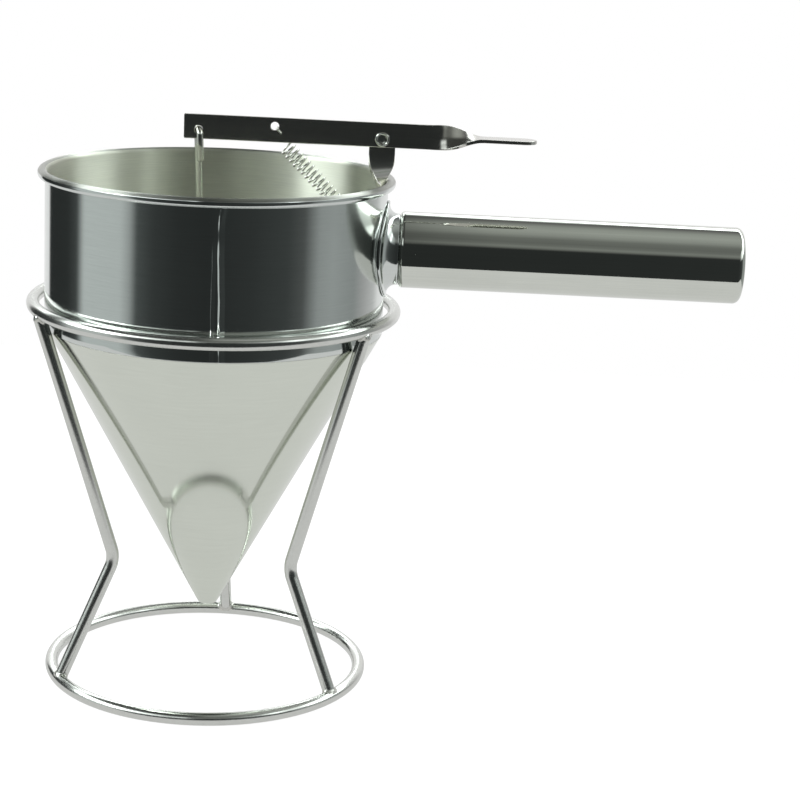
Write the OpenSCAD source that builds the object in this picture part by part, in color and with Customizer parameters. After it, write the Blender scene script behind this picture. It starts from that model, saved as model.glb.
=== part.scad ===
// Lever-operated batter funnel that stands in a wire stand.
// Sizes are in millimetres. The origin is on the stand's axis at floor level,
// +Z is up and +X runs out along the handle.

/* [Stand] */
// Diameter of the wire that the stand is bent from
wire_d = 5.5; // [4.5:0.25:6.5]
// Height of the top of the upper ring above the floor
stand_h = 167; // [155:1:180]
// Diameter of the base ring, at the middle of its wire
base_ring_d = 135.7; // [120:0.1:150]
// Diameter of the circle through the legs' waists, at the middle of the wire
waist_d = 87.2; // [82:0.1:92]
// Height of the waist bend above the floor
waist_h = 55; // [48:0.1:62]
// Radius of the waist bend, at the middle of the wire
waist_bend_r = 12; // [8:1:18]
// Angle from the handle round to the back leg
leg_turn = 88; // [75:1:105]
// How far outside the middle of the upper ring's wire the legs are aimed
leg_aim = 1.25; // [0.9:0.05:1.4]
// Depth of the flat on the underside of the base ring
foot_flat = 0.25; // [0.15:0.05:0.5]
// How far a weld bead stands out round the leg's wire
weld_collar = 0.75; // [0.6:0.05:1.1]

/* [Funnel] */
// Outside diameter of the upright band
band_d = 143.8; // [138:0.1:150]
// Height of the band, from its lower edge to the top of the rim
band_h = 66.1; // [60:0.1:74]
// Thickness of the steel sheet
sheet = 0.8; // [0.6:0.1:1.1]
// How far the rolled rim stands out past the band
rim_overhang = 3.1; // [2.9:0.1:3.5]
// Diameter of the rolled rim's bead
rim_bead_d = 4; // [3.6:0.1:4.4]
// Height of the cone, from its cut-off tip to the band
cone_h = 125.1; // [116:0.1:130]
// Outside diameter of the cut-off tip
outlet_d = 8.1; // [7:0.1:10]
// Clear space between the band and the stand's upper ring
ring_gap = 2; // [1.7:0.1:3]

/* [Handle] */
// Outside diameter of the handle tube
handle_d = 32.2; // [28:0.1:36]
// Length of the handle tube with its end cap
handle_len = 144.8; // [110:0.1:170]
// Height of the handle's axis above the band's lower edge
handle_h = 36.5; // [33:0.1:38]
// Wall thickness of the handle tube
handle_wall = 0.8; // [0.6:0.1:1.2]
// Distance from the band to the inner end of the handle tube
handle_standoff = 5.6; // [5:0.1:8]
// Radius of the rolled-in inner end of the handle tube
handle_shoulder_r = 1.85; // [1.3:0.05:2.4]
// Corner radius of the end cap
cap_corner_r = 3; // [2:0.25:5]
// Thickness of the end cap's face
cap_face = 1.2; // [0.8:0.1:2]
// Length of the spigots that the tube is pressed onto
spigot_len = 9; // [6:0.5:14]
// Diameter of the saddle's flange on the band
saddle_d = 41; // [38:0.5:44]
// Thickness of the saddle's flange
saddle_t = 1; // [0.8:0.1:1.4]
// Diameter of the saddle's throat, just outside the band
throat_d = 30; // [29.4:0.1:31]
// Length of the throat past the flange's curve
throat_len = 0.6; // [0.3:0.1:1]

/* [Lever] */
// Width of the lever strip
lever_w = 10.3; // [9:0.1:12]
// Thickness of the lever strip
lever_t = 1.5; // [1.2:0.1:2]
// Height of the lever's middle line above the rim
lever_h = 18.7; // [17:0.1:22]
// Distance from the pivot to the lever's inner end
lever_in = 83; // [80.5:0.1:88]
// Distance from the pivot to the tip of the thumb pad
lever_out = 64.4; // [55:0.1:75]
// Width of the thumb pad
pad_w = 11; // [9:0.5:14]
// Distance from the pivot to the start of the twist
twist_in = 18.3; // [14:0.1:22]
// Length of the twist
twist_len = 24; // [18:1:30]
// Distance of the pivot inside the band's outer face
pivot_in = 3.4; // [3.3:0.1:5]
// Height of the pivot below the lever's middle line
pivot_drop = 1.8; // [1:0.1:2.4]
// Diameter of the rivet's shank
rivet_d = 4.2; // [3.8:0.1:4.4]
// Diameter of the hollow in the rivet
rivet_hollow_d = 3; // [2.4:0.1:3.2]
// Depth of the hollow, from the front of the rivet's head
rivet_hollow_depth = 3; // [2:0.1:3.6]
// Diameter of the rivet's heads
rivet_head_d = 6; // [5.6:0.1:7]
// Thickness of the rivet's heads
rivet_head_t = 0.9; // [0.6:0.1:1.2]
// Outside diameter of the washer under the lever
washer_d = 8; // [7:0.5:9]
// Thickness of the washer under the lever
washer_t = 0.5; // [0.4:0.1:0.8]

/* [Bracket] */
// Width of the bracket strip
bracket_w = 11; // [10:0.1:12]
// Thickness of the bracket strip
bracket_t = 1.5; // [1.2:0.1:1.7]
// Height of the bracket's ear above and below the pivot
ear_h = 4.8; // [4.4:0.1:5]
// Depth below the rim where the bracket starts to twist
bracket_twist_drop = 6; // [5:0.1:7]

/* [Plunger] */
// Diameter of the plunger rod
rod_d = 3; // [2.5:0.1:3.4]
// Distance from the pivot to the hole for the rod's hook
hook_arm = 76.8; // [74:0.1:78]
// Height of the hook hole below the lever's middle line
hook_drop = 1.3; // [0.5:0.1:1.6]
// Diameter of the hook hole
hook_hole_d = 4; // [3.9:0.1:4.4]
// Length of the hook's short leg
hook_leg = 12; // [10:0.5:20]
// Angle that the hook's plane is turned out of the lever's cross direction
hook_turn = 15; // [0:1:20]
// Diameter of the valve ball at the foot of the rod
ball_d = 10; // [9:0.1:12]

/* [Spring] */
// Outside diameter of the return spring
spring_d = 7; // [6.4:0.1:7.6]
// Diameter of the spring's wire
spring_wire = 0.75; // [0.6:0.05:0.9]
// Number of curls, ending half a curl round from the start
spring_turns = 20.5; // [16.5:1:24.5]
// Length of the straight wire at each end of the spring
spring_leg = 8.3; // [6:0.1:10]
// Length of the wire end that is bent back over the lever
spring_tail = 2.6; // [2:0.1:4]
// Distance from the pivot to the spring hole in the lever
spring_arm = 45; // [40:0.1:50]
// Height of the spring hole above the lever's middle line
spring_rise = 1.6; // [1:0.1:2]
// Diameter of the spring hole in the lever
spring_hole_d = 3.5; // [3:0.1:4]
// Distance of the anchor's hole from the inside of the band
anchor_reach = 5.2; // [4.5:0.1:8]
// Height of the anchor's hole above the band's lower edge
anchor_h = 35.4; // [28:0.1:42]
// Width of the anchor tab
anchor_w = 5; // [4.5:0.1:7]
// Thickness of the anchor tab
anchor_t = 1.2; // [0.8:0.1:1.6]
// Diameter of the hole in the anchor tab
anchor_hole_d = 2.4; // [2:0.1:2.8]

/* [Hidden] */
$fn = 96;

// Clearances
weld_gap = 0.05;
press_gap = 0.02;
pivot_gap = 0.05;
side_gap = 0.3;
seat_gap = 0.3;
valve_gap = 0.3;
hook_gap = 0.45;
spring_gap = 0.5;
foot_gap = 3;
curl_gap = 0.5;
overrun = 1;
// How much the wire swells where it is bent
bend_swell = 0.02;

// Stand
wire_r = wire_d / 2;
band_r = band_d / 2;
top_ring_r = band_r + ring_gap + wire_r;
top_ring_z = stand_h - wire_r;
base_ring_r = base_ring_d / 2;
base_ring_z = wire_r - foot_flat;
leg_step = 120;
leg_top = [top_ring_r + leg_aim, top_ring_z];
leg_waist = [waist_d / 2, waist_h];
leg_foot = [base_ring_r, base_ring_z];
leg_up = unit(leg_top - leg_waist);
leg_down = unit(leg_foot - leg_waist);
waist_half_angle = acos(leg_up * leg_down) / 2;
waist_tangent = waist_bend_r / tan(waist_half_angle);
waist_centre = leg_waist + unit(leg_up + leg_down) * waist_bend_r / sin(waist_half_angle);
weld_r = wire_r + weld_collar;

// Funnel: its shoulder rests on the inner sides of the legs
leg_slope = leg_up[0] / leg_up[1];
leg_half_w = wire_r / leg_up[1];
band_z = waist_h + (band_r + seat_gap + leg_half_w - leg_waist[0]) / leg_slope;
band_in_r = band_r - sheet;
rim_z = band_z + band_h;
bead_r = rim_bead_d / 2;
bead_at = [band_r + rim_overhang - bead_r, rim_z - bead_r];
tip_z = band_z - cone_h;
outlet_r = outlet_d / 2;
cone_angle = atan((band_r - outlet_r) / cone_h);
cone_wall = sheet / cos(cone_angle);

// Handle
handle_z = band_z + handle_h;
handle_r = handle_d / 2;
handle_in_r = handle_r - handle_wall;
handle_start = band_r + handle_standoff;
handle_end = handle_start + handle_len;
spigot_r = handle_r - handle_shoulder_r - press_gap;
saddle_out = band_r + weld_gap + saddle_t;
flare_r = handle_start - throat_len - saddle_out;

// Lever, bracket and rivet: the ear stands on the handle's middle plane, with the lever before it
lever_z = rim_z + lever_h;
pivot = [band_r - pivot_in, lever_z - pivot_drop];
ear_front = -bracket_t / 2;
lever_back = ear_front - washer_t - 2 * pivot_gap;
lever_front = lever_back - lever_t;
lever_y = (lever_front + lever_back) / 2;
bracket_x = sqrt(pow(band_in_r, 2) - pow(bracket_w / 2, 2)) - weld_gap - bracket_t / 2;

// Plunger: the rod hangs behind the lever, and the hook's short leg in front of it
hook = [pivot[0] - hook_arm, lever_z - hook_drop];
hook_r = rod_d / 2 + hook_gap + lever_t / 2;
ball_r = ball_d / 2;
cone_apex_z = tip_z - outlet_r / tan(cone_angle) + sheet / sin(cone_angle);
ball_z = cone_apex_z + (ball_r + valve_gap) / sin(cone_angle);
rod_top = [hook[0] - hook_r * sin(hook_turn), lever_y + hook_r * cos(hook_turn), hook[1]];
rod_line = [0, 0, ball_z] - rod_top;
rod_len = norm(rod_line);
rod_tilt = asin(rod_line[1] / rod_len);
rod_lean = atan(-rod_line[0] / rod_line[2]);

// Spring: a straight wire leaves each end of the coil, on opposite sides
spring_r = (spring_d - spring_wire) / 2;
spring_y = lever_back + spring_gap + spring_d / 2;
spring_hole = [pivot[0] - spring_arm, lever_z + spring_rise];
anchor_hole = [band_in_r - anchor_reach, band_z + anchor_h];
bracket_foot_z = anchor_hole[1] + anchor_w / 2 + foot_gap;
spring_pull = unit(anchor_hole - spring_hole);
spring_top = spring_hole + spring_pull * (spring_hole_d - spring_wire - side_gap) / 2;
spring_foot = anchor_hole - spring_pull * (anchor_hole_d - spring_wire - side_gap) / 2;
spring_line = spring_foot - spring_top;
spring_tilt = atan2(spring_line[1], spring_line[0]) + asin(2 * spring_r / norm(spring_line));
spring_axis = [cos(spring_tilt), sin(spring_tilt)];
spring_side = [-sin(spring_tilt), cos(spring_tilt)];
spring_run = spring_line * spring_axis;
coil_len = spring_run - 2 * spring_leg;
spring_pitch = coil_len / spring_turns;
spring_bend = 1;
curl_rings = 8;
tube_sides = 6;
bend_steps = 3;

// Smooth steps and list helpers
function unit(v) = v / norm(v);
function ease(t) = t * t * (3 - 2 * t);
function flat(lists) = [for (list = lists) for (item = list) item];

// A skin of triangles over rings of points that follow each other
module skin(rings) {
    sides = len(rings[0]);
    last = (len(rings) - 1) * sides;
    walls = [
        for (i = [0:len(rings) - 2]) for (j = [0:sides - 1])
            let (a = i * sides + j, b = i * sides + (j + 1) % sides)
                each [[a, a + sides, b + sides], [a, b + sides, b]]
    ];
    first_cap = [for (j = [1:sides - 2]) [0, j, j + 1]];
    last_cap = [for (j = [1:sides - 2]) [last, last + j + 1, last + j]];
    polyhedron(points = flat(rings), faces = concat(walls, first_cap, last_cap), convexity = 10);
}

// One rectangular ring of a strip, from its centre, half width and half thickness
function strip_ring(at, w, t) = [at + w + t, at - w + t, at - w - t, at + w - t];

// A straight stretch of a leg's wire between two points, each given by radius and height
module leg_bar(from, to) {
    line = to - from;
    translate([from[0], 0, from[1]])
        rotate([0, atan2(line[0], line[1]), 0])
            cylinder(r = wire_r, h = norm(line));
}

module ring(r, z, extra = 0) {
    translate([0, 0, z])
        rotate_extrude()
            translate([r, 0])
                circle(r = wire_r + extra);
}

module waist_bend() {
    upper = leg_waist + leg_up * waist_tangent - waist_centre;
    lower = leg_waist + leg_down * waist_tangent - waist_centre;
    start = atan2(upper[1], upper[0]);
    finish = atan2(lower[1], lower[0]) + 360;
    translate([waist_centre[0], 0, waist_centre[1]])
        rotate([90, -start, 0])
            rotate_extrude(angle = finish - start)
                translate([waist_bend_r, 0])
                    circle(r = wire_r + bend_swell);
}

// The straight stretches run a little way into the bend
module leg_wire() {
    bar_start = waist_tangent - side_gap;
    leg_bar(leg_waist + leg_up * bar_start, leg_top - leg_up * overrun);
    leg_bar(leg_waist + leg_down * bar_start, leg_foot - leg_down * overrun);
    waist_bend();
}

// A leg, coped at both ends to sit against the two rings
module stand_leg(index) {
    color([0.72, 0.74, 0.73])
        difference() {
            rotate([0, 0, leg_turn + leg_step * index]) leg_wire();
            ring(top_ring_r, top_ring_z, weld_gap);
            ring(base_ring_r, base_ring_z, weld_gap);
        }
}

// A collar of weld round the end of a leg, on the leg's side of the ring
module weld_bead(at, direction) {
    bead_depth = 0.75 * wire_r;
    translate([at[0], 0, at[1]])
        rotate([0, atan2(-direction[0], -direction[1]), 0])
            difference() {
                intersection() {
                    translate([0, 0, wire_r]) sphere(r = weld_r);
                    translate([0, 0, bead_depth]) cylinder(r = 2 * weld_r, h = 2 * weld_r);
                }
                cylinder(r = wire_r + weld_gap, h = 3 * weld_r);
            }
}

module weld_beads(at, direction, ring_r, ring_z) {
    color([0.66, 0.67, 0.65])
        for (index = [0:2])
            difference() {
                rotate([0, 0, leg_turn + leg_step * index]) weld_bead(at, direction);
                ring(ring_r, ring_z, weld_gap);
            }
}

module stand_base_welds() {
    weld_beads(leg_foot, leg_down, base_ring_r, base_ring_z);
}

module stand_top_welds() {
    weld_beads(leg_top, leg_up, top_ring_r, top_ring_z);
}

module stand_top_ring() {
    color([0.76, 0.78, 0.77]) ring(top_ring_r, top_ring_z);
}

module stand_base_ring() {
    span = 2 * (base_ring_r + wire_d);
    color([0.76, 0.78, 0.77])
        difference() {
            ring(base_ring_r, base_ring_z);
            translate([-span / 2, -span / 2, -wire_d]) cube([span, span, wire_d]);
        }
}

module funnel_cone() {
    color([0.8, 0.82, 0.78])
        rotate_extrude()
            polygon([
                [outlet_r, tip_z],
                [band_r, band_z],
                [band_r - cone_wall, band_z],
                [outlet_r - cone_wall, tip_z]
            ]);
}

// The rolled rim is open along its inner lower edge, where the curl stops short of the band
module band_profile() {
    translate([band_in_r, band_z]) square([sheet, bead_at[1] - band_z]);
    difference() {
        translate(bead_at)
            difference() {
                circle(r = bead_r);
                circle(r = bead_r - sheet);
            }
        translate([band_r, bead_at[1] - bead_r]) square([curl_gap, bead_r]);
    }
}

module funnel_band() {
    color([0.6, 0.62, 0.62]) rotate_extrude() band_profile();
}

// Places a shape that is turned round the local Z axis along the handle
module along_handle() {
    translate([0, 0, handle_z]) rotate([0, 90, 0]) children();
}

module saddle_flange() {
    intersection() {
        along_handle() cylinder(d = saddle_d, h = 2 * band_r);
        difference() {
            translate([0, 0, handle_z - saddle_d]) cylinder(r = saddle_out, h = 2 * saddle_d);
            translate([0, 0, handle_z - 2 * saddle_d])
                cylinder(r = band_r + weld_gap, h = 4 * saddle_d);
        }
    }
}

module throat_profile() {
    throat_r = throat_d / 2;
    flare_end = handle_start - throat_len;
    difference() {
        translate([spigot_r - handle_wall, saddle_out - saddle_d / 2])
            square([throat_r + flare_r - spigot_r + handle_wall, flare_end - saddle_out + saddle_d / 2]);
        translate([throat_r + flare_r, flare_end]) circle(r = flare_r);
    }
    translate([spigot_r - handle_wall, flare_end]) square([handle_wall, throat_len + spigot_len]);
}

module handle_saddle() {
    color([0.66, 0.68, 0.67]) {
        difference() {
            saddle_flange();
            along_handle() cylinder(r = spigot_r - handle_wall, h = 2 * band_r);
        }
        difference() {
            along_handle() rotate_extrude() throat_profile();
            translate([0, 0, handle_z - 2 * saddle_d])
                cylinder(r = band_r + weld_gap, h = 4 * saddle_d);
        }
    }
}

module handle_tube() {
    straight_start = handle_start + handle_shoulder_r;
    straight_len = handle_len - handle_shoulder_r - cap_corner_r;
    color([0.56, 0.57, 0.56])
        along_handle()
            rotate_extrude() {
                translate([handle_in_r, straight_start]) square([handle_wall, straight_len]);
                translate([handle_r - handle_shoulder_r, straight_start])
                    intersection() {
                        difference() {
                            circle(r = handle_shoulder_r);
                            circle(r = handle_shoulder_r - handle_wall);
                        }
                        translate([0, -handle_shoulder_r]) square(handle_shoulder_r);
                    }
            }
}

module handle_end_cap() {
    plug_r = handle_in_r - press_gap;
    corner_at = [handle_r - cap_corner_r, handle_end - cap_corner_r];
    color([0.6, 0.61, 0.6])
        along_handle()
            rotate_extrude() {
                translate([0, handle_end - cap_face]) square([corner_at[0], cap_face]);
                translate(corner_at)
                    intersection() {
                        circle(r = cap_corner_r);
                        square(cap_corner_r);
                    }
                translate([plug_r - handle_wall, corner_at[1] - spigot_len])
                    square([handle_wall, spigot_len]);
            }
}

// A hole through a strip, along Y
module cross_hole(at, d) {
    translate([at[0], 0, at[1]]) rotate([90, 0, 0]) cylinder(d = d, h = 4 * lever_w, center = true);
}

// The strip leans inwards as it twists, so that its far edge stays clear of the rim
function bracket_ring(z, turn, w) =
    let (
        angle = 90 * ease(turn),
        swing = bracket_w / 2 * sin(angle) + bracket_t / 2 * (cos(angle) - 1),
        lean = min(bracket_x - pivot[0], swing)
    )
    strip_ring(
        [bracket_x - lean, 0, z],
        [sin(angle), cos(angle), 0] * w / 2,
        [-cos(angle), sin(angle), 0] * bracket_t / 2
    );

module lever_bracket() {
    twist_steps = 12;
    round_steps = 5;
    round_angle = 75;
    twist_z = rim_z - bracket_twist_drop;
    ear_z = pivot[1] - ear_h;
    leg_rings = [bracket_ring(bracket_foot_z, 0, bracket_w)];
    twist_rings = [
        for (i = [0:twist_steps])
            bracket_ring(twist_z + (ear_z - twist_z) * i / twist_steps, i / twist_steps, bracket_w)
    ];
    top_rings = [
        for (i = [0:round_steps])
            let (angle = round_angle * i / round_steps)
                bracket_ring(
                    pivot[1] + ear_h * sin(angle) / sin(round_angle),
                    1,
                    bracket_w * cos(angle)
                )
    ];
    color([0.42, 0.43, 0.42])
        difference() {
            skin(concat(leg_rings, twist_rings, top_rings));
            cross_hole(pivot, rivet_d + 2 * press_gap);
        }
}

function lever_ring(x, turn, w) =
    let (angle = 90 * ease(turn))
        strip_ring(
            [x, lever_y, lever_z],
            [0, sin(angle), cos(angle)] * w / 2,
            [0, -cos(angle), sin(angle)] * lever_t / 2
        );

module lever() {
    twist_steps = 12;
    round_steps = 8;
    round_angle = 80;
    corner_steps = 3;
    corner_r = 0.5;
    start_x = pivot[0] - lever_in;
    twist_x = pivot[0] + twist_in;
    tip_x = pivot[0] + lever_out;
    pad_r = pad_w / 2;
    start_rings = [
        for (i = [0:corner_steps])
            let (angle = 90 * i / corner_steps)
                lever_ring(
                    start_x + corner_r * (1 - cos(angle)),
                    0,
                    lever_w - 2 * corner_r * (1 - sin(angle))
                )
    ];
    twist_rings = [
        for (i = [0:twist_steps])
            let (t = i / twist_steps)
                lever_ring(twist_x + twist_len * t, t, lever_w + (pad_w - lever_w) * t)
    ];
    tip_rings = [
        for (i = [0:round_steps])
            let (angle = round_angle * i / round_steps)
                lever_ring(
                    tip_x - pad_r + pad_r * sin(angle) / sin(round_angle),
                    1,
                    pad_w * cos(angle)
                )
    ];
    color([0.3, 0.31, 0.31])
        difference() {
            skin(concat(start_rings, twist_rings, tip_rings));
            cross_hole(pivot, rivet_d + 2 * pivot_gap);
            cross_hole(hook, hook_hole_d);
            cross_hole(spring_hole, spring_hole_d);
        }
}

// Places a shape that is turned round the local Z axis on the pivot, with local Z towards the back
module on_pivot(y) {
    translate([pivot[0], y, pivot[1]]) rotate([-90, 0, 0]) children();
}

module pivot_rivet() {
    front = lever_front - pivot_gap;
    grip = ear_front + bracket_t + pivot_gap - front;
    color([0.7, 0.71, 0.7])
        on_pivot(front)
            difference() {
                union() {
                    translate([0, 0, -rivet_head_t]) cylinder(d = rivet_head_d, h = rivet_head_t);
                    cylinder(d = rivet_d, h = grip);
                    translate([0, 0, grip]) cylinder(d = rivet_head_d, h = rivet_head_t);
                }
                translate([0, 0, -rivet_head_t - overrun])
                    cylinder(d = rivet_hollow_d, h = rivet_hollow_depth + overrun);
            }
}

module pivot_washer() {
    color([0.74, 0.75, 0.74])
        on_pivot(lever_back + pivot_gap)
            difference() {
                cylinder(d = washer_d, h = washer_t);
                translate([0, 0, -overrun])
                    cylinder(d = rivet_d + 2 * pivot_gap, h = washer_t + 2 * overrun);
            }
}

module spring_anchor() {
    tab_len = band_in_r - weld_gap - anchor_hole[0];
    color([0.7, 0.71, 0.69])
        translate([anchor_hole[0], 0, anchor_hole[1]])
            rotate([90, 0, 0])
                linear_extrude(anchor_t, center = true)
                    difference() {
                        union() {
                            circle(d = anchor_w);
                            translate([0, -anchor_w / 2]) square([tab_len, anchor_w]);
                        }
                        circle(d = anchor_hole_d);
                    }
}

// A point of the spring's wire: along its axis, to its side, and in Y
function spring_point(along, side, y) =
    let (flat_point = spring_top + spring_axis * along + spring_side * (side - spring_r))
        [flat_point[0], y, flat_point[1]];
function curl_point(angle) =
    spring_point(
        spring_leg + spring_pitch * angle / 360,
        spring_r * cos(angle),
        spring_y + spring_r * sin(angle)
    );

// A rounded corner between two points of the wire
function bend(from, corner, to) = [
    for (i = [0:bend_steps])
        let (t = i / bend_steps)
            from * (1 - t) * (1 - t) + corner * 2 * t * (1 - t) + to * t * t
];
function toward(corner, point) = corner + unit(point - corner) * spring_bend;
function wire_corner(from, corner, to) = bend(toward(corner, from), corner, toward(corner, to));

tail_y = lever_front - side_gap - spring_wire;
anchor_end_y = -anchor_t / 2 - 2 * spring_wire;
spring_tip = spring_point(spring_tail, spring_r, tail_y);
tail_corner = spring_point(0, spring_r, tail_y);
top_corner = spring_point(0, spring_r, spring_y);
coil_start = spring_point(spring_leg, spring_r, spring_y);
coil_end = spring_point(spring_leg + coil_len, -spring_r, spring_y);
foot_corner = spring_point(spring_run, -spring_r, spring_y);
spring_end = spring_point(spring_run, -spring_r, anchor_end_y);
curl_in = 22.5;
curl_turn = spring_turns * 360 - 2 * curl_in;
curl_steps = round(curl_turn * curl_rings / 360);
spring_path = concat(
    [spring_tip],
    wire_corner(spring_tip, tail_corner, top_corner),
    wire_corner(tail_corner, top_corner, coil_start),
    bend(toward(coil_start, top_corner), coil_start, curl_point(curl_in)),
    [for (i = [1:curl_steps - 1]) curl_point(curl_in + curl_turn * i / curl_steps)],
    bend(curl_point(curl_in + curl_turn), coil_end, toward(coil_end, foot_corner)),
    wire_corner(coil_end, foot_corner, spring_end),
    [spring_end]
);

// Directions along a path, and a side direction that is carried along it without twisting
first_side = [1, 0.3, 0.2];
function path_direction(path, i) = unit(path[min(i + 1, len(path) - 1)] - path[max(i - 1, 0)]);
function square_to(v, direction) = unit(v - direction * (v * direction));
function carried_sides(path) = [
    for (
        i = 0, side = square_to(first_side, path_direction(path, 0));
        i < len(path);
        i = i + 1,
        side = i < len(path) ? square_to(side, path_direction(path, i)) : side
    ) side
];
function tube_rings(path, r) =
    let (sides = carried_sides(path)) [
        for (i = [0:len(path) - 1])
            let (across = cross(path_direction(path, i), sides[i])) [
                for (j = [0:tube_sides - 1])
                    let (angle = 360 * j / tube_sides)
                        path[i] + (sides[i] * cos(angle) + across * sin(angle)) * r
            ]
    ];

// Least space between the wire and itself, half a curl or more further along
function self_gap(path, wire) = min([
    for (i = [0:len(path) - 1]) for (j = [i + curl_rings / 2:1:len(path) - 1])
        norm(path[i] - path[j]) - wire
]);

module return_spring() {
    echo(spring_self_gap = self_gap(spring_path, spring_wire));
    color([0.78, 0.79, 0.78]) skin(tube_rings(spring_path, spring_wire / 2));
}

// Places a shape on the rod's own axis, with its top level with the hook hole
module on_rod() {
    translate(rod_top) rotate([rod_tilt, -rod_lean, 0]) children();
}

module plunger_rod() {
    color([0.74, 0.75, 0.73])
        on_rod() {
            translate([0, 0, -rod_len]) cylinder(d = rod_d, h = rod_len - hook_r);
            rotate([0, 0, 180 + hook_turn]) {
                translate([0, hook_r, -hook_r])
                    rotate([90, 0, 90])
                        rotate_extrude(angle = 180)
                            translate([hook_r, 0])
                                circle(d = rod_d);
                translate([0, 2 * hook_r, -hook_leg]) cylinder(d = rod_d, h = hook_leg - hook_r);
                translate([0, 2 * hook_r, -hook_leg]) sphere(d = rod_d);
            }
        }
}

module valve_ball() {
    color([0.72, 0.73, 0.72])
        on_rod()
            difference() {
                translate([0, 0, -rod_len]) sphere(d = ball_d);
                translate([0, 0, -rod_len - press_gap])
                    cylinder(d = rod_d + 2 * press_gap, h = ball_d);
            }
}

stand_base_ring();
stand_top_ring();
stand_leg(0);  // stand_leg_back
stand_leg(1);  // stand_leg_left
stand_leg(2);  // stand_leg_right
stand_base_welds();
stand_top_welds();
funnel_cone();
funnel_band();
handle_saddle();
handle_tube();
handle_end_cap();
lever_bracket();
spring_anchor();
pivot_rivet();
pivot_washer();
lever();
return_spring();
plunger_rod();
valve_ball();
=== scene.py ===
"""Batter funnel in its wire stand: finer shapes, metals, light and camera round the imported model."""
import math

import bmesh
import bpy
from mathutils import Matrix, Vector


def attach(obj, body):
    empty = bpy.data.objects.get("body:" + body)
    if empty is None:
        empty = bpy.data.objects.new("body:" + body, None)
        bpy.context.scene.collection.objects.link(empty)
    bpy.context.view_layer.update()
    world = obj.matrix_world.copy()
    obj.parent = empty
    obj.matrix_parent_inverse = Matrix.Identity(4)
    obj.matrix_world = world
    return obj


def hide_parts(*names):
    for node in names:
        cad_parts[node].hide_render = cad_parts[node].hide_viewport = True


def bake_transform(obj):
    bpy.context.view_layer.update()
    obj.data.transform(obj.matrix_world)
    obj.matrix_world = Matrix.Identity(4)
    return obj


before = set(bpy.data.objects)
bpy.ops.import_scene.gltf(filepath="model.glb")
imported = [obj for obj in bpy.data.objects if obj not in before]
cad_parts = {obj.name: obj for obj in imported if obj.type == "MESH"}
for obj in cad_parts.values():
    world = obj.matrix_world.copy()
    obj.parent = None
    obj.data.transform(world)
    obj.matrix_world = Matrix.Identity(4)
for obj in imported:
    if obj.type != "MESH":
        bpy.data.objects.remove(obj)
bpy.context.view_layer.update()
scene = bpy.context.scene
MM = 0.001

# Sizes of the stand, in millimetres as in the part's source
WIRE_R, STAND_H = 2.75, 167.0
BASE_RING_R, FOOT_FLAT = 67.85, 0.25
WAIST_R, WAIST_Z, WAIST_BEND_R = 43.6, 55.0, 12.0
LEG_AIM = 1.25
LEG_TURNS = {"back": 88.0, "left": 208.0, "right": 328.0}

# Sizes of the funnel
BAND_R, BAND_H, SHEET = 71.9, 66.1, 0.8
RIM_OVERHANG, BEAD_R = 3.1, 2.0
CONE_H, OUTLET_R = 125.1, 4.05
RING_GAP, SEAT_GAP, WELD_GAP = 2.0, 0.3, 0.05

# Sizes of the handle
HANDLE_H, HANDLE_R, HANDLE_WALL = 36.5, 16.1, 0.8
HANDLE_STANDOFF, HANDLE_LEN = 5.6, 144.8
SHOULDER_R, CAP_CORNER_R, CAP_FACE = 1.85, 3.0, 1.2
SADDLE_R, SADDLE_T = 20.5, 1.0
THROAT_R, THROAT_LEN = 15.0, 0.6
SPIGOT_R, SPIGOT_END, BORE_R = 14.2, 86.0, 13.4

# Sizes of the lever, its bracket and its rivet
LEVER_W, LEVER_T, LEVER_H = 10.3, 1.5, 18.7
LEVER_IN, LEVER_OUT, PAD_W = 83.0, 64.4, 11.0
TWIST_IN, TWIST_LEN = 18.3, 24.0
PIVOT_IN, PIVOT_DROP, PIVOT_GAP = 3.4, 1.8, 0.05
RIVET_R, RIVET_HEAD_R, RIVET_FIT = 2.1, 3.0, 0.02
BRACKET_W, BRACKET_T, EAR_H = 11.0, 1.5, 4.8
BRACKET_TWIST_DROP, BRACKET_FOOT_GAP = 6.0, 3.0
WASHER_T = 0.5

# Sizes of the plunger rod, down to the ball that it carries
ROD_R = 1.5
HOOK_ARM, HOOK_DROP, HOOK_HOLE_R = 76.8, 1.3, 1.7
HOOK_GAP, HOOK_LEG, HOOK_TURN = 0.45, 12.0, math.radians(15)
BALL_R, VALVE_GAP = 5.0, 0.3

# Sizes of the spring and its anchor
SPRING_R, SPRING_WIRE_R, SPRING_TURNS = 3.125, 0.375, 20.5
SPRING_LEG, SPRING_TAIL, SPRING_BEND = 8.3, 2.6, 1.0
SPRING_ARM, SPRING_RISE, SPRING_HOLE_R = 45.0, 1.6, 1.75
SPRING_GAP, SIDE_GAP = 0.5, 0.3
ANCHOR_REACH, ANCHOR_H, ANCHOR_W, ANCHOR_T, ANCHOR_HOLE_R = 5.2, 35.4, 5.0, 1.2, 1.2

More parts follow.
